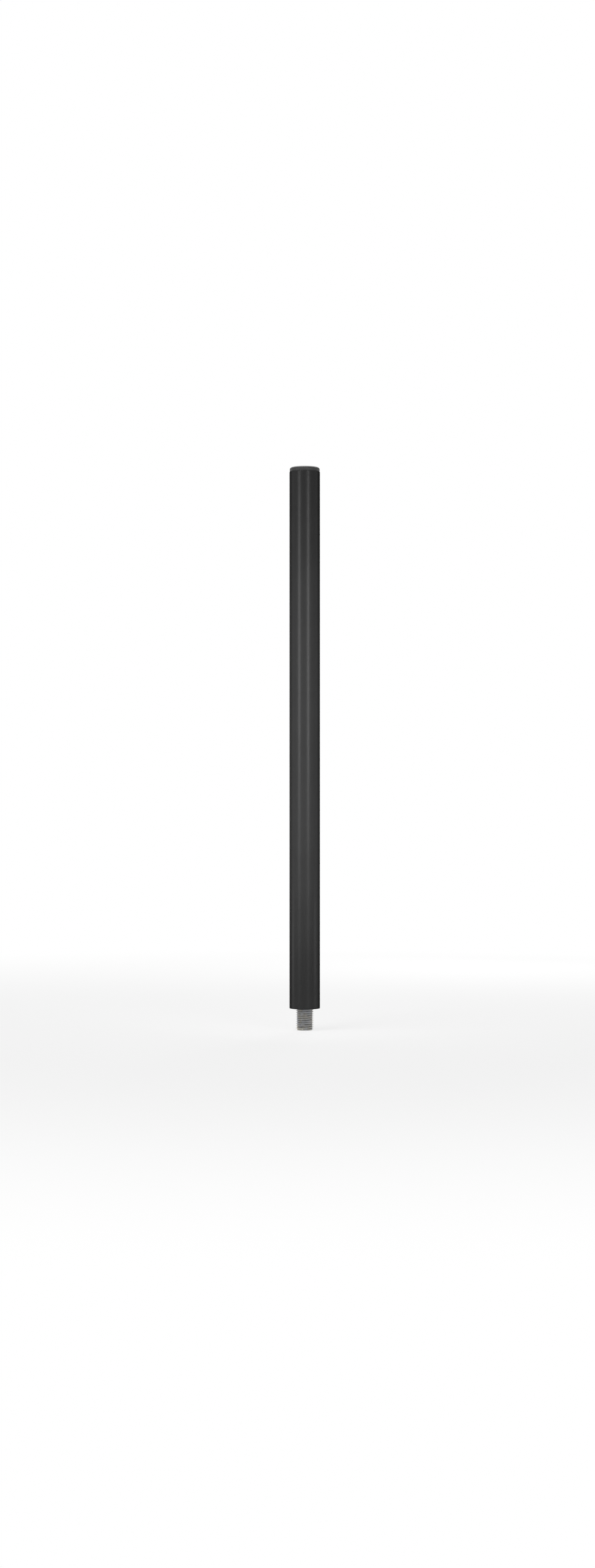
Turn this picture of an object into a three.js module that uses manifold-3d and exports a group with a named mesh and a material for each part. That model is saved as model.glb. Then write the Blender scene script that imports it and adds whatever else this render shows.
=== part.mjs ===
// A fixed-length speaker pole: a plain steel tube that screws down by the threaded stud in its foot,
// and whose upper end slips into a socket. Nothing on it moves.
// Millimetres, +Z up. The origin is on the pole's axis, in the plane where its foot seats.

import * as THREE from "three";
import { mergeVertices, toCreasedNormals } from "three/addons/utils/BufferGeometryUtils.js";
import Module from "manifold-3d";

const wasm = await Module();
wasm.setup();

// Pole
const shownLength = 536; // from the seat up to the mouth of the socket that takes the upper end
const insertedLength = 84; // the upper end, hidden in that socket

// Tube
const tubeDiameter = 35; // the standard size of such poles and their sockets
const tubeWall = 2;
const tubeOuterChamfer = 0.5;
const tubeInnerChamfer = 0.3;

// Bush bonded into the foot of the tube, and tapped for the stud
const bushLength = 45;
const bushTubeClearance = 0.15;
const bushStudClearance = 0.2;
const bushMouthChamfer = 1.5; // at both ends of the bore
const bushLeadChamfer = 1.2; // at the outside of the end that enters the tube first
const bushEdgeChamfer = 0.4; // at the outside of the foot end
const grooveCount = 3; // turned rings that hold the bonding compound
const grooveWidth = 2;
const grooveDepth = 0.6;

// Stud, as wide as the crests of its thread
const studDiameter = 20;
const studLength = 60;
const studProjection = 25; // below the seat
const studChamfer = 1.6;
const keyAcrossFlats = 10; // hexagon socket in the lower end
const keyDepth = 10;
const keyMouthDiameter = 12.2; // the socket's mouth is countersunk to this
const keyConeDiameter = 9.2; // the cone that the punch leaves in the socket's floor
const keyConeDepth = 2.6;

// Spring pin across the bush and the stud, caught there by the tube
const pinDiameter = 5;
const pinWall = 1;
const pinSlotWidth = 1;
const pinChamfer = 0.35;
const pinRecess = 0.5; // each end lies this far below the bush's outside
const pinHoleClearance = 0.1;

// Moulded plug in the top of the tube
const headThickness = 5;
const headInset = 0.3; // how far its edge lies inside the tube's outside
const headEdgeRadius = 2.2;
const headFootChamfer = 0.4;
const gateDiameter = 8; // shallow dimple that keeps the moulding gate below the face
const gateDepth = 0.6;
const spigotLength = 25;
const spigotWall = 2;
const spigotTubeClearance = 1.1;
const spigotLeadIn = 1.2;
const finCount = 4; // soft rings that grip the bore
const finThickness = 0.9;
const finRise = 1.1; // the tip of a fin stands this much above its root
const finTubeClearance = 0.15;
const ribCount = 2; // ribs right across the hollow
const ribThickness = 1.6;
const ribSetback = 4; // from the open end of the spigot

// Facets
const turningSegments = 72;
const holeSegments = 32;
const arcSteps = 4;
const creaseAngle = THREE.MathUtils.degToRad(32);
const cutOverrun = 1; // how far a cutter runs past what it cuts, and a rib into its wall

// What follows from the sizes above
const tubeRadius = tubeDiameter / 2;
const boreRadius = tubeRadius - tubeWall;
const tubeLength = shownLength + insertedLength - headThickness;
const bushRadius = boreRadius - bushTubeClearance;
const studRadius = studDiameter / 2;
const pinHeight = (studLength - studProjection) / 2; // halfway up what the bush holds of the stud
const pinHoleRadius = pinDiameter / 2 + pinHoleClearance;

const powderCoat = new THREE.MeshStandardMaterial({ color: 0x323232, roughness: 0.42, metalness: 0 });
const zincPlate = new THREE.MeshStandardMaterial({ color: 0xb6b8bc, roughness: 0.3, metalness: 1 });
const turnedSteel = new THREE.MeshStandardMaterial({ color: 0xaaaaac, roughness: 0.36, metalness: 1 });
const springSteel = new THREE.MeshStandardMaterial({ color: 0x59595d, roughness: 0.42, metalness: 1 });
const blackNylon = new THREE.MeshStandardMaterial({ color: 0x242424, roughness: 0.55, metalness: 0 });

// A manifold solid from a closed geometry.
function solidOf(geometry) {
  const bare = geometry.clone();
  bare.deleteAttribute("normal");
  bare.deleteAttribute("uv");
  const merged = mergeVertices(bare);
  return new wasm.Manifold(
    new wasm.Mesh({
      numProp: 3,
      vertProperties: merged.attributes.position.array,
      triVerts: new Uint32Array(merged.index.array),
    }),
  );
}

// A named mesh from a manifold solid, smooth over its round faces and sharp at its edges.
function piece(name, solid, material) {
  const { vertProperties, triVerts } = solid.getMesh();
  const geometry = new THREE.BufferGeometry()
    .setAttribute("position", new THREE.BufferAttribute(vertProperties, 3))
    .setIndex(new THREE.BufferAttribute(triVerts, 1));
  const mesh = new THREE.Mesh(toCreasedNormals(geometry, creaseAngle), material);
  mesh.name = name;
  return mesh;
}

// Half a section, as a closed line through [radius, height] corners given anticlockwise.
function halfSection(corners) {
  const path = new THREE.Path(corners.map(([radius, height]) => new THREE.Vector2(radius, height)));
  path.closePath();
  return path;
}

// The solid that half a section sweeps as it turns about Z.
function turned(path) {
  return solidOf(new THREE.LatheGeometry(path.getPoints(arcSteps), turningSegments).rotateX(Math.PI / 2));
}

// The cutter for the spring pin's hole, along X at a height, right across the bush.
function pinHole(height) {
  const length = 2 * (bushRadius + cutOverrun);
  return solidOf(
    new THREE.CylinderGeometry(pinHoleRadius, pinHoleRadius, length, holeSegments)
      .rotateZ(Math.PI / 2)
      .translate(0, 0, height),
  );
}

// The tube, from its lower end up, with its edges deburred inside and out.
function poleTube() {
  const wall = halfSection([
    [boreRadius + tubeInnerChamfer, 0],
    [tubeRadius - tubeOuterChamfer, 0],
    [tubeRadius, tubeOuterChamfer],
    [tubeRadius, tubeLength - tubeOuterChamfer],
    [tubeRadius - tubeOuterChamfer, tubeLength],
    [boreRadius + tubeInnerChamfer, tubeLength],
    [boreRadius, tubeLength - tubeInnerChamfer],
    [boreRadius, tubeInnerChamfer],
  ]);
  return piece("pole_tube", turned(wall), powderCoat);
}

// The bush, from its foot end up: a steel sleeve with chamfered mouths and rings turned into its outside.
function footBush() {
  const bore = studRadius + bushStudClearance;
  const groovePitch = bushLength / (grooveCount + 1);
  const grooves = Array.from({ length: grooveCount }, (_, i) => {
    const low = (i + 1) * groovePitch - grooveWidth / 2;
    const high = low + grooveWidth;
    return [
      [bushRadius, low],
      [bushRadius - grooveDepth, low],
      [bushRadius - grooveDepth, high],
      [bushRadius, high],
    ];
  });
  const sleeve = halfSection([
    [bore + bushMouthChamfer, 0],
    [bushRadius - bushEdgeChamfer, 0],
    [bushRadius, bushEdgeChamfer],
    ...grooves.flat(),
    [bushRadius, bushLength - bushLeadChamfer],
    [bushRadius - bushLeadChamfer, bushLength],
    [bore + bushMouthChamfer, bushLength],
    [bore, bushLength - bushMouthChamfer],
    [bore, bushMouthChamfer],
  ]);
  return piece("foot_bush", turned(sleeve).subtract(pinHole(pinHeight)), turnedSteel);
}

// The stud, from its lower end up: a chamfered rod with a hexagon socket for the key that screws it in.
function threadedStud() {
  const rod = halfSection([
    [0, 0],
    [studRadius - studChamfer, 0],
    [studRadius, studChamfer],
    [studRadius, studLength - studChamfer],
    [studRadius - studChamfer, studLength],
    [0, studLength],
  ]);
  const keyRadius = keyAcrossFlats / 2;
  const mouthRadius = keyMouthDiameter / 2;
  const hexagon = new THREE.CylinderGeometry(1, 1, keyDepth + cutOverrun, 6)
    .scale(keyRadius / Math.cos(Math.PI / 6), 1, keyRadius / Math.cos(Math.PI / 6))
    .rotateX(Math.PI / 2)
    .translate(0, 0, (keyDepth - cutOverrun) / 2);
  const countersink = halfSection([
    [0, -cutOverrun],
    [mouthRadius + cutOverrun, -cutOverrun],
    [0, mouthRadius],
  ]);
  const cone = halfSection([
    [0, keyDepth - cutOverrun],
    [keyConeDiameter / 2, keyDepth - cutOverrun],
    [keyConeDiameter / 2, keyDepth],
    [0, keyDepth + keyConeDepth],
  ]);
  const stud = turned(rod)
    .subtract(solidOf(hexagon))
    .subtract(turned(countersink))
    .subtract(turned(cone))
    .subtract(pinHole(pinHeight + studProjection));
  return piece("threaded_stud", stud, zincPlate);
}

// The spring pin, lying along X about its centre: a strip rolled to a C, slot down, with bevelled ends.
function crossPin() {
  const outer = pinDiameter / 2;
  const inner = outer - pinWall;
  const outerStart = Math.asin(pinSlotWidth / 2 / outer);
  const innerStart = Math.asin(pinSlotWidth / 2 / inner);
  const rolled = new THREE.Shape();
  rolled.absarc(0, 0, outer, outerStart, 2 * Math.PI - outerStart, false);
  rolled.absarc(0, 0, inner, 2 * Math.PI - innerStart, innerStart, true);
  rolled.closePath();
  const straight = 2 * (bushRadius - pinRecess - pinChamfer);
  const body = new THREE.ExtrudeGeometry(rolled, {
    depth: straight,
    bevelThickness: pinChamfer,
    bevelSize: pinChamfer,
    bevelOffset: -pinChamfer,
    bevelSegments: 1,
    curveSegments: holeSegments / 2,
  });
  body.translate(0, 0, -straight / 2).rotateY(Math.PI / 2);
  return piece("cross_pin", solidOf(body), springSteel);
}

// The plug, from the tube's rim: a round-edged head above it, and a hollow spigot with fins and ribs below.
function topPlug() {
  const headRadius = tubeRadius - headInset;
  const headCorner = headRadius - headEdgeRadius;
  const spigotRadius = boreRadius - spigotTubeClearance;
  const hollowRadius = spigotRadius - spigotWall;
  const finRadius = boreRadius - finTubeClearance;
  const finPitch = (spigotLength - spigotLeadIn - finRise) / finCount;
  const path = new THREE.Path();
  path.moveTo(0, 0);
  path.lineTo(hollowRadius, 0);
  path.lineTo(hollowRadius, -spigotLength);
  path.lineTo(spigotRadius - spigotLeadIn, -spigotLength);
  for (let i = 0; i < finCount; i++) {
    const root = -spigotLength + spigotLeadIn + i * finPitch;
    path.lineTo(spigotRadius, root);
    path.lineTo(finRadius, root + finRise);
    path.lineTo(finRadius, root + finRise + finThickness / 2);
    path.lineTo(spigotRadius, root + finThickness);
  }
  path.lineTo(spigotRadius, 0);
  path.lineTo(headRadius - headFootChamfer, 0);
  path.lineTo(headRadius, headFootChamfer);
  path.absarc(headCorner, headThickness - headEdgeRadius, headEdgeRadius, 0, Math.PI / 2, false);
  path.lineTo(gateDiameter / 2, headThickness);
  path.lineTo(gateDiameter / 2 - gateDepth, headThickness - gateDepth);
  path.lineTo(0, headThickness - gateDepth);
  const ribLength = 2 * (hollowRadius + cutOverrun);
  const ribHeight = spigotLength - ribSetback + cutOverrun;
  let plug = turned(path);
  for (let i = 0; i < ribCount; i++) {
    const rib = new THREE.BoxGeometry(ribLength, ribThickness, ribHeight)
      .translate(0, 0, cutOverrun - ribHeight / 2)
      .rotateZ((i * Math.PI) / ribCount);
    plug = plug.add(solidOf(rib));
  }
  return piece("top_plug", plug, blackNylon);
}

// Moves a mesh or group up the pole.
function raised(object, height) {
  object.position.z = height;
  return object;
}

const foot = new THREE.Group();
foot.add(footBush(), raised(threadedStud(), -studProjection), raised(crossPin(), pinHeight));

const speakerPole = new THREE.Group();
speakerPole.add(poleTube(), foot, raised(topPlug(), tubeLength));

export default speakerPole;
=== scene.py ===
"""A fixed-length speaker pole: painted tube, turned bush, M20 stud and moulded plug, lit for a picture.

All lengths are in metres, in the frame of the loaded model: +Z up along the pole, and the origin on its
axis, in the plane where its foot seats.
"""

import logging
import math
from collections.abc import Iterable
from dataclasses import dataclass
from enum import Enum

import bpy
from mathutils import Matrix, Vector


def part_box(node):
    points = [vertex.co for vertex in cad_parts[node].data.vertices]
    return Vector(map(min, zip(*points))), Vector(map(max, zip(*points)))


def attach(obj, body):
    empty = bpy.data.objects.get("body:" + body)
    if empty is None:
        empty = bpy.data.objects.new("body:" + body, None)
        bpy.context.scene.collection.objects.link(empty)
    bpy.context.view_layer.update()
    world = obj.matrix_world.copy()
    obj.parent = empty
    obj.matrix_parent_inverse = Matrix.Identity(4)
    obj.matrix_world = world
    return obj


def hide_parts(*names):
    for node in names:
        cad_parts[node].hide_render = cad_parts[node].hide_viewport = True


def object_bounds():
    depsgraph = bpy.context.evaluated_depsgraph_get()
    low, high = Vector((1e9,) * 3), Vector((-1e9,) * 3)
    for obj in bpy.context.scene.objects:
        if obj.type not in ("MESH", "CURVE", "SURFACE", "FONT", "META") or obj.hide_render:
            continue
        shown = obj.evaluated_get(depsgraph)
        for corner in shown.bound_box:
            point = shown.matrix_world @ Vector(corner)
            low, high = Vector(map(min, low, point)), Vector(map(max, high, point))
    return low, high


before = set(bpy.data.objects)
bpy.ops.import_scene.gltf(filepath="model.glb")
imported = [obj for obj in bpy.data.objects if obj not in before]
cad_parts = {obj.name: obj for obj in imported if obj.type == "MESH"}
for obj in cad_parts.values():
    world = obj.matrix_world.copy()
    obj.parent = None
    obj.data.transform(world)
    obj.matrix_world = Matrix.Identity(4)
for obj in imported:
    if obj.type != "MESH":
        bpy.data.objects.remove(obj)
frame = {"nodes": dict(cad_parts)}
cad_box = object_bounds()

log = logging.getLogger("speaker_pole")

BODY = "root"
FULL_TURN = 2 * math.pi
MM = 0.001
MICRON = 0.000001
WELD = 2 * MICRON  # points and slivers closer than this are one
CREASE = 35  # degrees; flatter edges are shaded smooth
SHARP = 30  # degrees; edges that turn by more are rounded
FLAT_WEIGHT = 100  # percent; the largest faces alone decide how a corner is shaded
HALF_FACET = 0.5  # turns a cutter on by half a facet, so that its edges miss its work's
HEXAGON = 6  # sides
WHITE = (1, 1, 1, 1)
MOST = (0.3, 0.7)  # the levels between which most of a noise lies
EVEN_BLEND = 0.5  # makes Layer Weight's Facing one less the cosine of the angle of view

Point = tuple[float, float]
Colour = tuple[float, float, float]
Levels = tuple[float, float]
Piece = bpy.types.Object
Socket = bpy.types.NodeSocket
Input = Socket | float | tuple
Inputs = dict[str | int, Input]


class Slot(Enum):
    """The finishes that the record names."""

    POWDER_COAT = "powder_coat"
    TURNED_STEEL = "turned_steel"
    ZINC_PLATE = "zinc_plate"
    SPRING_STEEL = "spring_steel"
    BLACK_NYLON = "black_nylon"


class Cut(Enum):
    """What a second mesh does to a first."""

    TAKE_AWAY = "DIFFERENCE"
    KEEP_COMMON = "INTERSECT"
    JOIN = "UNION"


class Use(Enum):
    """What a lamp is for: to light surfaces, or to show in their gloss."""

    FILL = "fill"
    MIRROR = "mirror"


@dataclass(frozen=True)
class Layers:
    """How many finer layers a noise has, and how strong each one is against the one before."""

    count: int = 2
    strength: float = 0.5


class Bench:
    """The hand operations that the pieces are made with."""

    @staticmethod
    def clear() -> None:
        """Leaves nothing selected, so that the next operator acts on its own piece alone."""
        bpy.ops.object.select_all(action="DESELECT")

    @staticmethod
    def pick(piece: Piece) -> None:
        """Selects one piece and makes it the active one.

        Args:
            piece: the piece to work on.
        """
        Bench.clear()
        piece.select_set(True)
        bpy.context.view_layer.objects.active = piece

    @staticmethod
    def open(piece: Piece) -> None:
        """Opens a piece for editing, with all of it selected.

        Args:
            piece: the piece to edit.
        """
        Bench.pick(piece)
        bpy.ops.object.mode_set(mode="EDIT")
        bpy.ops.mesh.select_mode(type="VERT")
        bpy.ops.mesh.select_all(action="SELECT")

    @staticmethod
    def close(piece: Piece) -> None:
        """Merges an open piece's doubled points, turns its faces outwards and ends its editing.

        Args:
            piece: the piece that is open for editing.
        """
        bpy.ops.mesh.select_all(action="SELECT")
        bpy.ops.mesh.remove_doubles(threshold=WELD)
        bpy.ops.mesh.normals_make_consistent(inside=False)
        bpy.ops.object.mode_set(mode="OBJECT")
        Bench.settle(piece)

    @staticmethod
    def settle(piece: Piece) -> None:
        """Moves a piece's place, turn and scale into its mesh, so that its object sits at the origin.

        Args:
            piece: the piece to settle.
        """
        Bench.pick(piece)
        bpy.ops.object.transform_apply(location=True, rotation=True, scale=True)

    @staticmethod
    def outline(name: str, corners: Iterable[Point]) -> Piece:
        """Draws an outline in the half plane X >= 0 by extruding a vertex from corner to corner.

        Args:
            name: the piece's name.
            corners: the radius and height of each corner, in order.

        Returns:
            The new piece, open for editing, with all of the outline selected.
        """
        corners = list(corners)
        Bench.clear()
        bpy.ops.mesh.primitive_plane_add(size=MM)
        piece = bpy.context.object
        piece.name = name
        Bench.open(piece)
        bpy.ops.mesh.merge(type="CENTER")
        bpy.ops.transform.translate(value=(corners[0][0], 0, corners[0][1]))
        for (radius, height), (next_radius, next_height) in zip(corners, corners[1:]):
            step = (next_radius - radius, 0, next_height - height)
            bpy.ops.mesh.extrude_vertices_move(TRANSFORM_OT_translate={"value": step})
        bpy.ops.mesh.select_all(action="SELECT")
        return piece

    @staticmethod
    def turn(name: str, corners: Iterable[Point], steps: int, shift: float = 0) -> Piece:
        """Turns a half section about the Z axis, as a lathe does.

        Args:
            name: the piece's name.
            corners: the section's corners, either from axis to axis or back to the first one.
            steps: how many facets go round.
            shift: how far the facets are turned on, in facets.

        Returns:
            The turned piece, closed, with its faces pointing out.
        """
        piece = Bench.outline(name, corners)
        bpy.ops.mesh.spin(steps=steps, angle=FULL_TURN, center=(0, 0, 0), axis=(0, 0, 1))
        Bench.close(piece)
        piece.rotation_euler.z = shift * FULL_TURN / steps
        Bench.settle(piece)
        return piece

    @staticmethod
    def apply(piece: Piece, kind: str, **settings: object) -> None:
        """Adds a modifier to a piece and applies it.

        Args:
            piece: the piece that the modifier changes.
            kind: the modifier's type.
            settings: the modifier's values by their names.
        """
        Bench.pick(piece)
        modifier = piece.modifiers.new(kind.lower(), kind)
        for key, value in settings.items():
            setattr(modifier, key, value)
        bpy.ops.object.modifier_apply(modifier=modifier.name)

    @staticmethod
    def combine(piece: Piece, tool: Piece, cut: Cut) -> None:
        """Cuts or joins a piece with another one, which is used up, and clears the slivers away.

        Args:
            piece: the piece that stays.
            tool: the piece that is used up.
            cut: what the tool does.
        """
        Bench.apply(piece, "BOOLEAN", object=tool, operation=cut.value, solver="EXACT")
        bpy.data.objects.remove(tool)
        Bench.open(piece)
        bpy.ops.mesh.dissolve_degenerate(threshold=WELD)
        Bench.close(piece)

    @staticmethod
    def soften(piece: Piece, width: float, segments: int, above: float = SHARP) -> None:
        """Rounds a piece's sharp edges.

        Args:
            piece: the piece.
            width: how far the round goes from the edge.
            segments: how many facets the round has.
            above: edges that turn by more than this many degrees are rounded.
        """
        Bench.apply(
            piece,
            "BEVEL",
            width=width,
            segments=segments,
            limit_method="ANGLE",
            angle_limit=math.radians(above),
            use_clamp_overlap=True,
        )

    @staticmethod
    def finish(piece: Piece, material: bpy.types.Material, slot: Slot, node: str) -> None:
        """Smooths a piece, gives it its material and lets it stand for its node.

        Args:
            piece: the finished piece.
            material: its material.
            slot: not used.
            node: the node that it stands for.
        """
        Bench.settle(piece)
        bpy.ops.object.shade_smooth_by_angle(angle=math.radians(CREASE))
        Bench.apply(piece, "WEIGHTED_NORMAL", mode="FACE_AREA", weight=FLAT_WEIGHT, keep_sharp=True)
        piece.data.materials.clear()
        piece.data.materials.append(material)
        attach(piece, BODY)
        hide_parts(node)


def arc(centre: Point, radius: float, start: float, end: float, steps: int) -> list[Point]:
    """Gives points along an arc in the half plane.

    Args:
        centre: the radius and height of the arc's centre.
        radius: the arc's own radius.
        start: where it starts, in degrees from the outward direction.
        end: where it ends.
        steps: how many straight steps it has.

    Returns:
        The points, both ends among them.
    """
    angles = (math.radians(start + (end - start) * i / steps) for i in range(steps + 1))
    return [(centre[0] + radius * math.cos(a), centre[1] + radius * math.sin(a)) for a in angles]


class Nodes:
    """A node tree, put together in plain steps."""

    def __init__(self, tree: bpy.types.NodeTree) -> None:
        """Empties a tree, to build in it."""
        self.tree = tree
        self.tree.nodes.clear()

    def node(self, kind: str, inputs: Inputs | None = None, **settings: object) -> bpy.types.Node:
        """Adds a node.

        Args:
            kind: the node's type.
            inputs: values and sockets for its inputs, by name or number.
            settings: its own properties.

        Returns:
            The node.
        """
        made = self.tree.nodes.new(kind)
        for key, value in settings.items():
            setattr(made, key, value)
        for key, value in (inputs or {}).items():
            self.feed(made.inputs[key], value)
        return made

    def feed(self, target: Socket, value: Input) -> None:
        """Gives an input a value, or joins it to an output.

        Args:
            target: the input.
            value: a number, a tuple or an output.
        """
        if isinstance(value, Socket):
            self.tree.links.new(value, target)
        else:
            target.default_value = value

    def sum(self, operation: str, *values: Input) -> Socket:
        """Gives the result of a sum on numbers."""
        return self.node("ShaderNodeMath", dict(enumerate(values)), operation=operation).outputs["Value"]

    def product(self, first: Input, *others: Input) -> Socket:
        """Multiplies two numbers or more.

        Args:
            first: a number.
            others: the numbers that it is multiplied by.

        Returns:
            The product.
        """
        for other in others:
            first = self.sum("MULTIPLY", first, other)
        return first

    def span(self, value: Input, low: float, high: float, to_low: float = 0, to_high: float = 1) -> Socket:
        """Maps a range of a value onto another range, smoothly and without passing it.

        Args:
            value: the value.
            low: where the range starts.
            high: where it ends.
            to_low: the result at and before the start.
            to_high: the result at and past the end.

        Returns:
            The result.
        """
        inputs = {"Value": value, "From Min": low, "From Max": high, "To Min": to_low, "To Max": to_high}
        node = self.node("ShaderNodeMapRange", inputs, interpolation_type="SMOOTHSTEP", clamp=True)
        return node.outputs["Result"]

    def seen(self) -> Socket:
        """Gives 1 for rays that see a surface straight, in a mirror or through glass, and else 0.

        Returns:
            The number.
        """
        path = self.node("ShaderNodeLightPath").outputs
        mirrored = self.sum("MAXIMUM", path["Is Glossy Ray"], path["Is Transmission Ray"])
        return self.sum("MAXIMUM", path["Is Camera Ray"], mirrored)

    def mixed(self, share: Input, first: Socket, second: Socket) -> Socket:
        """Mixes two shaders, with this share of the second."""
        return self.node("ShaderNodeMixShader", {0: share, 1: first, 2: second}).outputs["Shader"]


class Shader(Nodes):
    """The material of a finish: one surface shader, fed by patterns on the piece's own coordinates."""

    def __init__(self, slot: Slot) -> None:
        """Starts a material.

        Args:
            slot: the finish that it is for.
        """
        self.material = bpy.data.materials.new(slot.value)
        self.material.use_nodes = True
        super().__init__(self.material.node_tree)
        self.surface = self.node("ShaderNodeBsdfPrincipled")
        self.node("ShaderNodeOutputMaterial", {"Surface": self.surface.outputs["BSDF"]})
        self.place = self.node("ShaderNodeTexCoord").outputs["Object"]
        self.height = self.node("ShaderNodeSeparateXYZ", {"Vector": self.place}).outputs["Z"]
        across = self.node("ShaderNodeVectorMath", {0: self.place, 1: (1, 1, 0)}, operation="MULTIPLY")
        inputs = {0: across.outputs["Vector"]}
        self.radius = self.node("ShaderNodeVectorMath", inputs, operation="LENGTH").outputs["Value"]

    def dress(self, **values: Input) -> None:
        """Sets the surface shader's inputs.

        Args:
            values: values or sockets by input name, with _ for a space.
        """
        for key, value in values.items():
            self.feed(self.surface.inputs[key.replace("_", " ")], value)

    def scaled(self, x: float = 1, y: float = 1, z: float = 1) -> Socket:
        """Gives the surface's coordinates, stretched along each axis by a factor."""
        return self.node("ShaderNodeMapping", {"Vector": self.place, "Scale": (x, y, z)}).outputs["Vector"]

    def noise(self, size: float, layers: Layers = Layers(), at: Socket | None = None) -> Socket:
        """Gives a smooth random pattern from 0 to 1.

        Args:
            size: the breadth of its patches, in metres.
            layers: its finer layers.
            at: the coordinates, or the surface's own.

        Returns:
            The pattern.
        """
        inputs = {"Vector": at or self.place, "Scale": 1 / size}
        inputs |= {"Detail": layers.count, "Roughness": layers.strength}
        return self.node("ShaderNodeTexNoise", inputs).outputs["Fac"]

    def tint(self, share: Input, first: Input, second: Colour) -> Socket:
        """Mixes two colours.

        Args:
            share: how much of the second shows.
            first: a colour, or an output that gives one.
            second: the other colour.

        Returns:
            The mixed colour.
        """
        node = self.node("ShaderNodeMix", data_type="RGBA")
        colours = [socket for socket in node.inputs if socket.type == "RGBA"]
        self.feed(node.inputs["Factor"], share)
        self.feed(colours[0], (*first, 1) if isinstance(first, tuple) else first)
        self.feed(colours[1], (*second, 1))
        return next(socket for socket in node.outputs if socket.type == "RGBA")

    def relief(self, pattern: Socket, depth: float, under: Socket | None = None) -> Socket:
        """Raises the surface's normal by a pattern.

        Args:
            pattern: the pattern, from 0 to 1.
            depth: how high 1 stands, in metres.
            under: a relief that this one lies on.

        Returns:
            The normal.
        """
        inputs = {"Height": pattern, "Distance": depth, "Strength": 1.0}
        if under is not None:
            inputs["Normal"] = under
        return self.node("ShaderNodeBump", inputs).outputs["Normal"]


@dataclass(frozen=True)
class PowderCoat:
    """Satin black powder coating, scuffed on the inserted end and chipped at its foot."""

    colour: Colour = (0.032, 0.032, 0.0322)
    pale_tone: float = 1.10
    patch_size: float = 40 * MM
    roughness: float = 0.5
    film: float = 0.30
    film_change: float = 0.06
    film_levels: Levels = (0.25, 0.75)
    film_roughness: float = 0.30
    grazing_film: float = 0.05
    grazing_levels: Levels = (0.34, 0.58)
    peel_size: float = 2.2 * MM
    peel_layers: Layers = Layers(1)
    peel_depth: float = 60 * MICRON
    grain_size: float = 0.30 * MM
    grain_depth: float = 16 * MICRON
    scuff_colour: Colour = (0.060, 0.060, 0.061)
    scuff_strength: float = 0.55
    scuff_start: float = 533 * MM
    scuff_full: float = 545 * MM
    scuff_width: float = 0.8 * MM
    scuff_length: float = 9 * MM
    scuff_layers: Layers = Layers(4, 0.65)
    scuff_levels: Levels = (0.50, 0.72)
    scuff_patch: float = 11 * MM
    scuff_patch_levels: Levels = (0.40, 0.62)
    foot_height: float = 0.35 * MM
    ring_width: float = 0.16 * MM
    ring_levels: Levels = (0.42, 0.62)
    ring_patch: float = 5 * MM
    steel: Colour = (0.36, 0.36, 0.37)
    chip_size: float = 1.5 * MM
    chip_layers: Layers = Layers(5, 0.6)
    chip_levels: Levels = (0.59, 0.62)

    def scuffs(self, shader: Shader) -> Socket:
        """Makes the rubs along the inserted end.

        Args:
            shader: the material.

        Returns:
            The pattern, from 0 to 1.
        """
        along = shader.scaled(z=self.scuff_width / self.scuff_length)
        lines = shader.noise(self.scuff_width, self.scuff_layers, along)
        lines = shader.span(lines, *self.scuff_levels)
        patches = shader.span(shader.noise(self.scuff_patch), *self.scuff_patch_levels)
        inserted = shader.span(shader.height, self.scuff_start, self.scuff_full)
        return shader.product(inserted, lines, patches)

    def foot_rings(self, shader: Shader) -> Socket:
        """Makes the rings that are rubbed into the foot's face as the pole is screwed down.

        Args:
            shader: the material.

        Returns:
            The pattern, from 0 to 1.
        """
        outward = shader.node("ShaderNodeCombineXYZ", {"X": shader.radius}).outputs["Vector"]
        rings = shader.span(shader.noise(self.ring_width, at=outward), *self.ring_levels)
        patches = shader.span(shader.noise(self.ring_patch), *MOST)
        return shader.product(shader.span(shader.height, self.foot_height, 0), rings, patches)

    def chips(self, shader: Shader) -> Socket:
        """Makes the spots of bare steel where the foot's edge has lost its coat.

        Args:
            shader: the material.

        Returns:
            The pattern, from 0 to 1.
        """
        flecks = shader.noise(self.chip_size, self.chip_layers)
        flecks = shader.span(flecks, *self.chip_levels)
        return shader.product(shader.span(shader.height, self.foot_height, 0), flecks)

    def material(self) -> bpy.types.Material:
        """Makes the material.

        Returns:
            The material.
        """
        shader = Shader(Slot.POWDER_COAT)
        peel = shader.noise(self.peel_size, self.peel_layers)
        grain = shader.noise(self.grain_size)
        chips = self.chips(shader)
        pale = tuple(self.pale_tone * channel for channel in self.colour)
        tone = shader.tint(shader.span(shader.noise(self.patch_size), *MOST), self.colour, pale)
        rubbed = shader.sum("MAXIMUM", self.scuffs(shader), self.foot_rings(shader))
        tone = shader.tint(shader.product(rubbed, self.scuff_strength), tone, self.scuff_colour)
        least, most = self.film * (1 - self.film_change), self.film * (1 + self.film_change)
        facing = shader.node("ShaderNodeLayerWeight", {"Blend": EVEN_BLEND}).outputs["Facing"]
        film = shader.product(
            shader.span(grain, *self.film_levels, least, most),
            shader.span(facing, *self.grazing_levels, 1, self.grazing_film),
            shader.sum("SUBTRACT", 1.0, chips),
        )
        relief = shader.relief(peel, self.peel_depth)
        relief = shader.relief(grain, self.grain_depth, relief)
        shader.dress(
            Base_Color=shader.tint(chips, tone, self.steel),
            Metallic=chips,
            Roughness=self.roughness,
            Normal=relief,
            Specular_IOR_Level=0.0,
            Coat_Weight=film,
            Coat_Roughness=self.film_roughness,
            Coat_Normal=relief,
        )
        return shader.material


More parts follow.
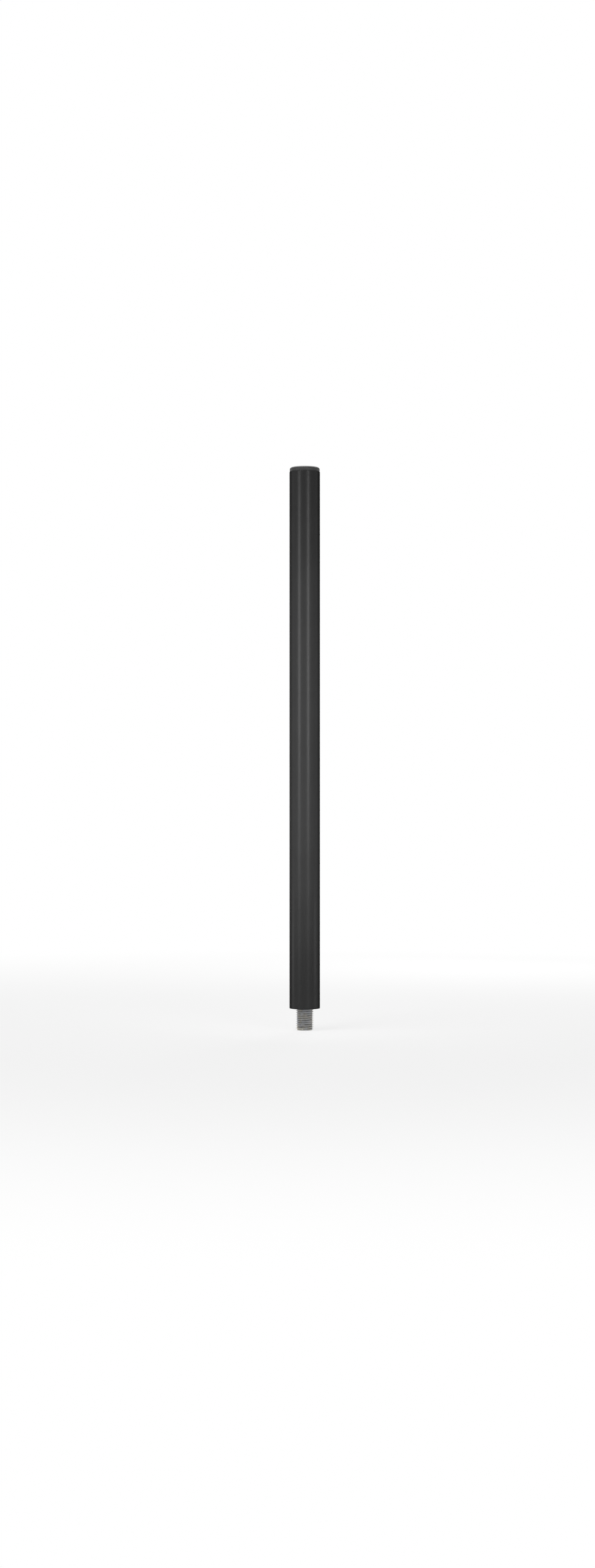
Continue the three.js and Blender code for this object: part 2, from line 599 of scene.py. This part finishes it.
@dataclass(frozen=True)
class TurnedSteel:
    """Bare turned steel, with the fine rings that the tool leaves."""

    colour: Colour = (0.40, 0.40, 0.41)
    stain: Colour = (0.20, 0.19, 0.18)
    stain_strength: float = 0.7
    stain_size: float = 5 * MM
    stain_layers: Layers = Layers(3)
    stain_levels: Levels = (0.55, 0.80)
    gloss: float = 0.29
    dull: float = 0.44
    ring_pitch: float = 0.18 * MM
    ring_depth: float = 2.5 * MICRON

    def material(self) -> bpy.types.Material:
        """Makes the material.

        Returns:
            The material.
        """
        shader = Shader(Slot.TURNED_STEEL)
        feed = shader.sum("ADD", shader.radius, shader.height)
        wave = shader.sum("SINE", shader.product(feed, FULL_TURN / self.ring_pitch))
        rings = shader.sum("MULTIPLY_ADD", wave, 0.5, 0.5)  # brings the wave to a range from 0 to 1
        smudge = shader.noise(self.stain_size, self.stain_layers)
        stain = shader.span(smudge, *self.stain_levels, 0, self.stain_strength)
        shader.dress(
            Base_Color=shader.tint(stain, self.colour, self.stain),
            Metallic=1.0,
            Roughness=shader.span(smudge, *MOST, self.gloss, self.dull),
            Normal=shader.relief(rings, self.ring_depth),
        )
        return shader.material


@dataclass(frozen=True)
class ZincPlate:
    """Bright zinc plating on a rolled thread: rubbed at the crests, with old grease and painted shade
    darkening the roots.
    """

    colour: Colour = (0.47, 0.48, 0.50)
    warm_colour: Colour = (0.49, 0.47, 0.42)
    bloom_size: float = 7 * MM
    bloom_levels: Levels = (0.35, 0.70)
    gloss: float = 0.23
    dull: float = 0.35
    speckle_size: float = 0.5 * MM
    speckle_layers: Layers = Layers(3)
    rub_depth: float = 0.10 * MM
    rub_gloss: float = 0.08
    drag_size: float = 0.22 * MM
    drag_length: float = 4.4 * MM
    drag_depth: float = 1.5 * MICRON
    # the roots' dark colour is old grease and painted shade, which darkens the recesses of the thread
    root_grease_and_shade: Colour = (0.055, 0.052, 0.048)
    root_grease_and_shade_strength: float = 0.8
    grease_dullness: float = 0.30
    grease_metal: float = 0.5
    grease_rise: float = 0.78 * MM
    grease_patch: float = 2.4 * MM
    grease_layers: Layers = Layers(3, 0.6)
    grease_thin: float = 0.35
    core_clean: float = 0.87 * MM
    core_greasy: float = 0.17 * MM
    end_clean: float = 1.2 * MM
    end_greasy: float = 2.4 * MM

    def grease_and_shade(self, shader: Shader, root: float, end: float) -> Socket:
        """Makes the grease and painted shade: dark in the roots, thin up the flanks, and none in the socket
        or at the end.

        Args:
            shader: the material.
            root: the radius of the thread's roots.
            end: the height of the stud's lower end.

        Returns:
            The pattern, from 0 to 1.
        """
        streaks = shader.noise(self.grease_patch, self.grease_layers)
        return shader.product(
            shader.span(shader.radius, root + self.grease_rise, root),
            shader.span(streaks, *MOST, self.grease_thin, 1),
            shader.span(shader.radius, root - self.core_clean, root - self.core_greasy),
            shader.span(shader.height, end + self.end_clean, end + self.end_greasy),
        )

    def material(self, crest: float, root: float, end: float) -> bpy.types.Material:
        """Makes the material.

        Args:
            crest: the radius of the thread's crests.
            root: the radius of its roots.
            end: the height of the stud's lower end.

        Returns:
            The material.
        """
        shader = Shader(Slot.ZINC_PLATE)
        # a mask for old grease and painted shade in the thread roots
        grease_and_shade = self.grease_and_shade(shader, root, end)
        bloom = shader.span(shader.noise(self.bloom_size), *self.bloom_levels)
        tone = shader.tint(bloom, self.colour, self.warm_colour)
        speckle = shader.noise(self.speckle_size, self.speckle_layers)
        haze = shader.span(speckle, *MOST, self.gloss, self.dull)
        haze = shader.sum("MULTIPLY_ADD", grease_and_shade, self.grease_dullness, haze)
        rubbed = shader.span(shader.radius, crest - self.rub_depth, crest, 0, self.rub_gloss)
        flat = self.drag_size / self.drag_length
        drag = shader.noise(self.drag_size, at=shader.scaled(x=flat, y=flat))
        shader.dress(
            # the roots darken with old grease and with painted shade
            Base_Color=shader.tint(shader.product(grease_and_shade, self.root_grease_and_shade_strength), tone, self.root_grease_and_shade),
            Metallic=shader.span(grease_and_shade, *MOST, 1, self.grease_metal),
            Roughness=shader.sum("SUBTRACT", haze, rubbed),
            Normal=shader.relief(drag, self.drag_depth),
        )
        return shader.material


@dataclass(frozen=True)
class SpringSteel:
    """Blued spring steel, drawn and rolled."""

    colour: Colour = (0.10, 0.10, 0.11)
    bright: Colour = (0.24, 0.23, 0.22)
    bright_levels: Levels = (0.45, 0.75)
    gloss: float = 0.36
    dull: float = 0.48
    line_width: float = 0.4 * MM
    line_length: float = 10 * MM
    line_layers: Layers = Layers(3)
    line_depth: float = 2 * MICRON

    def material(self) -> bpy.types.Material:
        """Makes the material.

        Returns:
            The material.
        """
        shader = Shader(Slot.SPRING_STEEL)
        along = shader.scaled(x=self.line_width / self.line_length)
        lines = shader.noise(self.line_width, self.line_layers, along)
        shader.dress(
            Base_Color=shader.tint(shader.span(lines, *self.bright_levels), self.colour, self.bright),
            Metallic=1.0,
            Roughness=shader.span(lines, *MOST, self.gloss, self.dull),
            Normal=shader.relief(lines, self.line_depth),
        )
        return shader.material


@dataclass(frozen=True)
class BlackNylon:
    """Black nylon, moulded in a spark-eroded tool, and rubbed at its rim."""

    colour: Colour = (0.018, 0.018, 0.0185)
    rub_colour: Colour = (0.050, 0.050, 0.051)
    rub_strength: float = 0.6
    rub_gloss: float = 0.12
    rub_size: float = 1.6 * MM
    rub_layers: Layers = Layers(3)
    rub_levels: Levels = (0.50, 0.68)
    rub_start: float = 1.6 * MM
    gloss: float = 0.49
    dull: float = 0.61
    flow_size: float = 9 * MM
    texture_size: float = 0.32 * MM
    texture_layers: Layers = Layers(3, 0.6)
    texture_depth: float = 60 * MICRON

    def material(self, rim: float) -> bpy.types.Material:
        """Makes the material.

        Args:
            rim: the radius of the plug's rim.

        Returns:
            The material.
        """
        shader = Shader(Slot.BLACK_NYLON)
        rubs = shader.span(shader.noise(self.rub_size, self.rub_layers), *self.rub_levels)
        rubs = shader.product(rubs, shader.span(shader.radius, rim - self.rub_start, rim))
        flow = shader.span(shader.noise(self.flow_size), *MOST, self.gloss, self.dull)
        texture = shader.noise(self.texture_size, self.texture_layers)
        shader.dress(
            Base_Color=shader.tint(shader.product(rubs, self.rub_strength), self.colour, self.rub_colour),
            Roughness=shader.sum("SUBTRACT", flow, shader.product(rubs, self.rub_gloss)),
            Normal=shader.relief(texture, self.texture_depth),
        )
        return shader.material


@dataclass(frozen=True)
class PinHole:
    """The hole for the spring pin, drilled along X through the bush and the stud."""

    pin_radius: float
    height: float
    clearance: float = 0.1 * MM
    facets: int = 50  # no multiple of four, so that no edge of the drill lies in the plane Y = 0

    def drill(self, piece: Piece, reach: float) -> None:
        """Drills the hole through a piece.

        Args:
            piece: the piece.
            reach: how far the drill goes on each side of the axis.
        """
        Bench.clear()
        bpy.ops.mesh.primitive_cylinder_add(
            vertices=self.facets,
            radius=self.pin_radius + self.clearance,
            depth=2 * reach,
            location=(0, 0, self.height),
            rotation=(0, math.pi / 2, 0),
        )
        drill = bpy.context.object
        Bench.settle(drill)
        Bench.combine(piece, drill, Cut.TAKE_AWAY)


@dataclass(frozen=True)
class PoleTube:
    """The painted steel tube, with its ends deburred."""

    radius: float
    bottom: float
    top: float
    wall: float = 2 * MM
    edge: float = 0.45 * MM
    edge_facets: int = 3
    facets: int = 256
    finish: PowderCoat = PowderCoat()

    def build(self) -> Piece:
        """Draws a circle out into a tube, gives it its wall and rounds its ends.

        Returns:
            The finished tube.
        """
        Bench.clear()
        start = (0, 0, self.bottom)
        bpy.ops.mesh.primitive_circle_add(vertices=self.facets, radius=self.radius, location=start)
        tube = bpy.context.object
        tube.name = "painted_tube"
        Bench.open(tube)
        length = self.top - self.bottom
        bpy.ops.mesh.extrude_region_move(TRANSFORM_OT_translate={"value": (0, 0, length)})
        Bench.close(tube)
        Bench.apply(tube, "SOLIDIFY", thickness=self.wall, offset=-1, use_even_offset=True)
        Bench.soften(tube, self.edge, self.edge_facets)
        Bench.finish(tube, self.finish.material(), Slot.POWDER_COAT, "pole_tube")
        return tube


@dataclass(frozen=True)
class FootBush:
    """The turned bush in the foot of the tube, with chamfered mouths and rings for the bonding compound."""

    radius: float
    bottom: float
    top: float
    hole: PinHole
    bore: float = 10.2 * MM
    mouth: float = 1.5 * MM
    lead: float = 1.2 * MM
    edge: float = 0.4 * MM
    grooves: int = 3
    groove_width: float = 2 * MM
    groove_depth: float = 0.6 * MM
    broken_edge: float = 0.08 * MM
    edge_facets: int = 2
    overrun: float = 1 * MM
    facets: int = 192
    finish: TurnedSteel = TurnedSteel()

    def rings(self) -> list[Point]:
        """Gives the corners of the grooves, from the foot up.

        Returns:
            Four corners for each groove.
        """
        pitch = (self.top - self.bottom) / (self.grooves + 1)
        floor = self.radius - self.groove_depth
        corners = []
        for i in range(self.grooves):
            low = self.bottom + (i + 1) * pitch - self.groove_width / 2
            high = low + self.groove_width
            corners += [(self.radius, low), (floor, low), (floor, high), (self.radius, high)]
        return corners

    def build(self) -> Piece:
        """Turns the bush, breaks its edges and drills it.

        Returns:
            The finished bush.
        """
        start = (self.bore + self.mouth, self.bottom)
        corners = [
            start,
            (self.radius - self.edge, self.bottom),
            (self.radius, self.bottom + self.edge),
            *self.rings(),
            (self.radius, self.top - self.lead),
            (self.radius - self.lead, self.top),
            (self.bore + self.mouth, self.top),
            (self.bore, self.top - self.mouth),
            (self.bore, self.bottom + self.mouth),
            start,
        ]
        bush = Bench.turn("turned_bush", corners, self.facets)
        Bench.soften(bush, self.broken_edge, self.edge_facets)
        self.hole.drill(bush, self.radius + self.overrun)
        Bench.finish(bush, self.finish.material(), Slot.TURNED_STEEL, "foot_bush")
        return bush


@dataclass(frozen=True)
class ThreadedStud:
    """The M20 stud: a rolled metric thread on a chamfered rod, with a hexagon socket in its lower end.

    The shares of the thread are those of the standard metric outline: of the pitch, or of the height of the
    triangle that the outline is cut from.
    """

    radius: float
    bottom: float
    top: float
    hole: PinHole
    pitch: float = 2.5 * MM
    depth_share: float = 17 / 24
    root_round_share: float = 1 / 6
    crest_share: float = 1 / 8
    broken_edge_share: float = 1 / 64
    chamfer: float = 1.6 * MM
    key: float = 10 * MM
    key_depth: float = 10 * MM
    key_mouth: float = 12.2 * MM
    cone_diameter: float = 9.2 * MM
    cone_depth: float = 2.6 * MM
    overrun: float = 1 * MM
    spare_turns: int = 2
    root_facets: int = 2
    facets: int = 96
    finish: ZincPlate = ZincPlate()

    @property
    def triangle(self) -> float:
        """Gives the height of the triangle that the thread's outline is cut from."""
        return math.sqrt(3) / 2 * self.pitch

    @property
    def root(self) -> float:
        """Gives the radius of the thread's roots."""
        return self.radius - self.depth_share * self.triangle

    def tooth(self) -> list[Point]:
        """Gives one pitch of the thread's outline, from the bottom of a root to that of the next.

        Returns:
            The outline's points.
        """
        root_round = self.root_round_share * self.triangle
        edge = self.broken_edge_share * self.pitch
        crest_start = (1 - self.crest_share) / 2 * self.pitch
        rise = [
            *arc((self.root + root_round, 0), root_round, 180, 120, self.root_facets),
            (self.radius - math.sqrt(3) * edge, crest_start - edge),
            (self.radius, crest_start + edge),
        ]
        fall = [(radius, self.pitch - height) for radius, height in reversed(rise)]
        return rise + fall

    def thread(self) -> Piece:
        """Winds the tooth up the axis and trims both ends flat, a little past the stud's own.

        Returns:
            The threaded bar.
        """
        first = self.bottom - self.spare_turns * self.pitch
        turns = math.ceil((self.top - first) / self.pitch) + self.spare_turns
        bar = Bench.outline("m20_stud", [(radius, first + height) for radius, height in self.tooth()])
        bpy.ops.object.mode_set(mode="OBJECT")
        Bench.settle(bar)
        Bench.apply(
            bar,
            "SCREW",
            axis="Z",
            angle=FULL_TURN,
            screw_offset=self.pitch,
            iterations=turns,
            steps=self.facets,
            render_steps=self.facets,
            use_merge_vertices=True,
            merge_threshold=MICRON,
        )
        Bench.open(bar)
        for height, below in ((self.bottom - self.overrun, True), (self.top + self.overrun, False)):
            bpy.ops.mesh.select_all(action="SELECT")
            bpy.ops.mesh.bisect(
                plane_co=(0, 0, height),
                plane_no=(0, 0, 1),
                use_fill=True,
                clear_inner=below,
                clear_outer=not below,
            )
        Bench.close(bar)
        return bar

    def blank(self) -> Piece:
        """Turns the space that the stud may fill: its length, with a chamfer at each end.

        Returns:
            The blank.
        """
        wide = self.radius + self.overrun
        narrow = self.radius - self.chamfer
        slope = wide - narrow
        corners = [
            (0, self.bottom),
            (narrow, self.bottom),
            (wide, self.bottom + slope),
            (wide, self.top - slope),
            (narrow, self.top),
            (0, self.top),
        ]
        return Bench.turn("stud_blank", corners, self.facets, shift=HALF_FACET)

    def socket(self) -> Piece:
        """Makes the cutter for the key's socket: a hexagon, its countersunk mouth and its coned floor.

        Returns:
            The cutter.
        """
        Bench.clear()
        bpy.ops.mesh.primitive_cylinder_add(
            vertices=HEXAGON,
            radius=self.key / math.sqrt(3),
            depth=self.key_depth + self.overrun,
            location=(0, 0, self.bottom + (self.key_depth - self.overrun) / 2),
        )
        hexagon = bpy.context.object
        Bench.settle(hexagon)
        mouth = self.key_mouth / 2
        start = self.bottom - self.overrun
        sink = [(0, start), (mouth + self.overrun, start), (0, self.bottom + mouth)]
        Bench.combine(hexagon, Bench.turn("sink", sink, self.facets, shift=HALF_FACET), Cut.JOIN)
        punch = self.cone_diameter / 2
        floor = self.bottom + self.key_depth
        start = floor - self.overrun
        cone = [(0, start), (punch, start), (punch, floor), (0, floor + self.cone_depth)]
        Bench.combine(hexagon, Bench.turn("cone", cone, self.facets, shift=HALF_FACET), Cut.JOIN)
        return hexagon

    def build(self) -> Piece:
        """Threads the bar, trims it to the blank, sinks the socket and drills it.

        Returns:
            The finished stud.
        """
        stud = self.thread()
        Bench.combine(stud, self.blank(), Cut.KEEP_COMMON)
        Bench.combine(stud, self.socket(), Cut.TAKE_AWAY)
        self.hole.drill(stud, self.radius + self.overrun)
        material = self.finish.material(self.radius, self.root, self.bottom)
        Bench.finish(stud, material, Slot.ZINC_PLATE, "threaded_stud")
        return stud


@dataclass(frozen=True)
class TopPlug:
    """The moulded plug: a round-edged head over a hollow spigot with gripping fins and stiffening ribs."""

    radius: float
    bottom: float
    top: float
    head: float = 5 * MM
    head_round: float = 2.2 * MM
    head_facets: int = 10
    head_chamfer: float = 0.3 * MM
    gate: float = 4 * MM
    gate_depth: float = 0.6 * MM
    nub: float = 1.1 * MM
    nub_taper: float = 0.85
    nub_height: float = 0.3 * MM
    spigot: float = 14.4 * MM
    wall: float = 2 * MM
    fin_radius: float = 15.35 * MM
    fins: int = 4
    fin_rise: float = 1.1 * MM
    fin_thickness: float = 0.9 * MM
    lead: float = 1.2 * MM
    rib: float = 1.6 * MM
    rib_setback: float = 4 * MM
    ribs: int = 2
    edge: float = 0.12 * MM
    edge_facets: int = 2
    edge_turn: float = 40  # degrees; edges that turn by more are rounded
    rib_edge: float = 0.3 * MM
    rib_edge_facets: int = 3
    overrun: float = 1 * MM
    facets: int = 192
    finish: BlackNylon = BlackNylon()

    @property
    def rim(self) -> float:
        """Gives the height of the tube's rim, where the head starts."""
        return self.top - self.head

    def section(self) -> list[Point]:
        """Gives the plug's half section, from the roof of its hollow round to the middle of its face.

        Returns:
            The section's corners.
        """
        hollow = self.spigot - self.wall
        corners = [
            (0, self.rim),
            (hollow, self.rim),
            (hollow, self.bottom),
            (self.spigot - self.lead, self.bottom),
        ]
        pitch = (self.rim - self.bottom - self.lead - self.fin_rise) / self.fins
        for i in range(self.fins):
            root = self.bottom + self.lead + i * pitch
            corners += [
                (self.spigot, root),
                (self.fin_radius, root + self.fin_rise),
                (self.fin_radius, root + self.fin_rise + self.fin_thickness / 2),
                (self.spigot, root + self.fin_thickness),
            ]
        dimple = self.top - self.gate_depth
        centre = (self.radius - self.head_round, self.top - self.head_round)
        corners += [
            (self.spigot, self.rim),
            (self.radius - self.head_chamfer, self.rim),
            (self.radius, self.rim + self.head_chamfer),
            *arc(centre, self.head_round, 0, 90, self.head_facets),
            (self.gate, self.top),
            (self.gate - self.gate_depth, dimple),
            (self.nub, dimple),
            (self.nub * self.nub_taper, dimple + self.nub_height),
            (0, dimple + self.nub_height),
        ]
        return corners

    def cross(self) -> Piece:
        """Makes the ribs that stand right across the hollow, as one cross.

        Returns:
            The cross, with the edges that face out of the hollow rounded.
        """
        length = 2 * (self.spigot - self.wall + self.overrun)
        low = self.bottom + self.rib_setback
        high = self.rim + self.overrun
        Bench.clear()
        size = (length, self.rib, high - low)
        bpy.ops.mesh.primitive_cube_add(size=1, location=(0, 0, (low + high) / 2), scale=size)
        cross = bpy.context.object
        Bench.settle(cross)
        for i in range(1, self.ribs):
            Bench.pick(cross)
            bpy.ops.object.duplicate()
            rib = bpy.context.object
            rib.rotation_euler.z = i * math.pi / self.ribs
            Bench.settle(rib)
            Bench.combine(cross, rib, Cut.JOIN)
        Bench.soften(cross, self.rib_edge, self.rib_edge_facets)
        return cross

    def build(self) -> Piece:
        """Turns the plug, softens its edges and joins its ribs on.

        Returns:
            The finished plug.
        """
        plug = Bench.turn("nylon_plug", self.section(), self.facets)
        Bench.soften(plug, self.edge, self.edge_facets, self.edge_turn)
        Bench.combine(plug, self.cross(), Cut.JOIN)
        Bench.finish(plug, self.finish.material(self.radius), Slot.BLACK_NYLON, "top_plug")
        return plug


class SpeakerPole:
    """The whole pole, with the places of its pieces taken from the loaded nodes."""

    def __init__(self, nodes: dict[str, Piece]) -> None:
        """Reads the places of the nodes.

        Args:
            nodes: the nodes by name.
        """
        self.pin = nodes["cross_pin"]
        low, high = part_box("cross_pin")
        pin_radius = (high.y - low.y) / 2
        hole = PinHole(pin_radius, height=high.z - pin_radius)
        self.makers = (
            PoleTube(*self.extent("pole_tube")),
            FootBush(*self.extent("foot_bush"), hole),
            ThreadedStud(*self.extent("threaded_stud"), hole),
            TopPlug(*self.extent("top_plug")),
        )

    @staticmethod
    def extent(node: str) -> tuple[float, float, float]:
        """Gives the radius and the lowest and highest point of a round node.

        Args:
            node: the node's name.

        Returns:
            Its radius, bottom and top.
        """
        low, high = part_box(node)
        return (high.x - low.x) / 2, low.z, high.z

    def build(self) -> list[Piece]:
        """Makes each piece, and dresses the one node that stays.

        Returns:
            The pieces, from the tube to the pin.
        """
        pieces = [maker.build() for maker in self.makers]
        self.pin.data.materials.clear()
        self.pin.data.materials.append(SpringSteel().material())
        return [*pieces, self.pin]


@dataclass(frozen=True)
class Photograph:
    """The camera's view, in pixels of the photograph."""

    width: int = 759
    height: int = 2000
    focal_length: float = 3100
    horizon: float = 1000
    axis: float = 388.7
    seat: float = 1286
    tube_width: float = 38.92
    film_height: float = 36  # millimetres

    def take(self) -> bpy.types.Object:
        """Places the camera, level, where the photograph was taken from.

        Returns:
            The camera.
        """
        low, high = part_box("pole_tube")
        pixel = (high.x - low.x) / self.tube_width
        aside = (self.width / 2 - self.axis) * pixel
        height = (self.seat - self.horizon) * pixel + low.z
        place = (aside, -self.focal_length * pixel, height)
        Bench.clear()
        bpy.ops.object.camera_add(location=place, rotation=(math.pi / 2, 0, 0))
        camera = bpy.context.object
        camera.data.sensor_width = self.film_height
        camera.data.lens = self.film_height * self.focal_length / self.height
        bpy.context.scene.camera = camera
        return camera


LEFT, RIGHT = -41.5, 26  # the bearings of the lamps behind the two highlights


@dataclass(frozen=True)
class SoftBox:
    """An upright rectangular lamp that faces the pole.

    Its bearing is in degrees from the camera's side, and at a radiance of 1 it looks white.
    """

    name: str
    bearing: float
    distance: float
    low: float
    high: float
    width: float
    radiance: float
    use: Use

    def hang(self) -> None:
        """Hangs the lamp in its place."""
        turn = math.radians(self.bearing)
        outward = Vector((math.sin(turn), -math.cos(turn), 0))
        place = outward * self.distance + Vector((0, 0, (self.low + self.high) / 2))
        Bench.clear()
        bpy.ops.object.light_add(type="AREA", location=place, rotation=(math.pi / 2, 0, turn))
        lamp = bpy.context.object
        lamp.name = self.name
        lamp.data.shape = "RECTANGLE"
        lamp.data.size = self.width
        lamp.data.size_y = self.high - self.low
        lamp.data.energy = self.radiance * math.pi * lamp.data.size * lamp.data.size_y
        lamp.visible_camera = False
        lamp.visible_diffuse = self.use is Use.FILL
        lamp.visible_glossy = self.use is Use.MIRROR


@dataclass(frozen=True)
class Overhead:
    """A round soft lamp over the pole and to its left, for its top, the floor and the shadow there."""

    height: float = 2.0
    aside: float = 0.4
    forward: float = 0.3
    diameter: float = 0.6
    power: float = 12

    def hang(self) -> None:
        """Hangs the lamp in its place, facing down."""
        Bench.clear()
        bpy.ops.object.light_add(type="AREA", location=(-self.aside, -self.forward, self.height))
        lamp = bpy.context.object
        lamp.name = "overhead"
        lamp.data.shape = "DISK"
        lamp.data.size = self.diameter
        lamp.data.energy = self.power
        lamp.visible_camera = False


@dataclass(frozen=True)
class Studio:
    """A pale floor, white surroundings and the lamps.

    The strips and their weak tails make the two highlights, and the low lamps light the rims near the
    foot. The near washes light the coat itself, so that it darkens towards both ends.
    """

    floor_size: float = 30
    floor_gap: float = 0.1 * MM
    floor_colour: Colour = (0.9, 0.9, 0.9)
    floor_glow: float = 0.78
    glow_start: float = 0.35
    glow_full: float = 1.40
    ambient: float = 0.22
    lamps: tuple[SoftBox | Overhead, ...] = (
        SoftBox("left_strip", LEFT, 1.5, low=0.24, high=0.82, width=0.10, radiance=31, use=Use.MIRROR),
        SoftBox("right_strip", RIGHT, 1.5, low=0.23, high=0.82, width=0.12, radiance=27.5, use=Use.MIRROR),
        SoftBox("left_tail", LEFT, 1.5, low=-0.02, high=0.24, width=0.10, radiance=5, use=Use.MIRROR),
        SoftBox("right_tail", RIGHT, 1.5, low=-0.02, high=0.23, width=0.12, radiance=5, use=Use.MIRROR),
        SoftBox("left_low", -98.5, 0.45, low=-0.02, high=0.10, width=0.03, radiance=8, use=Use.MIRROR),
        SoftBox("right_low", 83, 0.45, low=-0.02, high=0.10, width=0.03, radiance=7, use=Use.MIRROR),
        SoftBox("left_wash", LEFT, 0.137, low=0.085, high=0.51, width=0.03, radiance=2.55, use=Use.FILL),
        SoftBox("front_wash", -24, 0.137, low=0.085, high=0.51, width=0.08, radiance=1.13, use=Use.FILL),
        SoftBox("right_wash", RIGHT, 0.137, low=0.085, high=0.51, width=0.04, radiance=2.7, use=Use.FILL),
        SoftBox("back_fill", 165, 1.2, low=0.10, high=0.90, width=0.50, radiance=4.5, use=Use.FILL),
        Overhead(),
    )

    def surround(self) -> None:
        """Makes the surroundings white where they are seen, and dimmer where they only light the pole."""
        world = bpy.data.worlds.new("surroundings")
        world.use_nodes = True
        nodes = Nodes(world.node_tree)
        dim, white = (
            nodes.node("ShaderNodeBackground", {"Color": WHITE, "Strength": strength}).outputs["Background"]
            for strength in (self.ambient, 1.0)
        )
        nodes.node("ShaderNodeOutputWorld", {"Surface": nodes.mixed(nodes.seen(), dim, white)})
        bpy.context.scene.world = world

    def floor_material(self, height: float) -> bpy.types.Material:
        """Makes the floor's material: matt near the pole, for its shadow, and ever whiter round it.

        Seen from below, the floor is clear, so that it doesn't hide the pole's lower end.

        Args:
            height: the floor's height.

        Returns:
            The material.
        """
        material = bpy.data.materials.new("pale_floor")
        material.use_nodes = True
        nodes = Nodes(material.node_tree)
        matt = nodes.node("ShaderNodeBsdfDiffuse", {"Color": (*self.floor_colour, 1)}).outputs["BSDF"]
        glow = nodes.node("ShaderNodeEmission", {"Color": WHITE}).outputs["Emission"]
        place = nodes.node("ShaderNodeTexCoord").outputs["Object"]
        distance = nodes.node("ShaderNodeVectorMath", {0: place, 1: (0, 0, height)}, operation="DISTANCE")
        share = nodes.span(distance.outputs["Value"], self.glow_start, self.glow_full, self.floor_glow, 1)
        above = nodes.mixed(nodes.product(nodes.seen(), share), matt, glow)
        clear = nodes.node("ShaderNodeBsdfTransparent").outputs["BSDF"]
        underside = nodes.node("ShaderNodeNewGeometry").outputs["Backfacing"]
        nodes.node("ShaderNodeOutputMaterial", {"Surface": nodes.mixed(underside, above, clear)})
        return material

    def lay_floor(self, height: float) -> None:
        """Lays the floor, a hair below the pole, so that their faces don't fall together.

        Args:
            height: the height of the pole's lowest point.
        """
        height -= self.floor_gap
        Bench.clear()
        bpy.ops.mesh.primitive_plane_add(size=self.floor_size, location=(0, 0, height))
        floor = bpy.context.object
        floor.name = "floor"
        Bench.settle(floor)
        floor.data.materials.append(self.floor_material(height))

    def build(self, lowest: float) -> None:
        """Sets up the whole studio.

        Args:
            lowest: the height of the pole's lowest point.
        """
        bpy.context.scene.view_settings.view_transform = "Standard"
        self.surround()
        self.lay_floor(lowest)
        for lamp in self.lamps:
            lamp.hang()


def main() -> None:
    """Builds the pole and its studio, and takes the view."""
    logging.basicConfig(level=logging.INFO, format="%(name)s: %(message)s")
    camera = Photograph().take()
    log.info("camera: %.2f m in front of the pole", -camera.location.y)
    for piece in SpeakerPole(frame["nodes"]).build():
        log.info("%s: %d faces", piece.name, len(piece.data.polygons))
    studio = Studio()
    studio.build(lowest=cad_box[0].z)
    log.info("studio: %d lamps", len(studio.lamps))


if __name__ == "__main__":
    main()
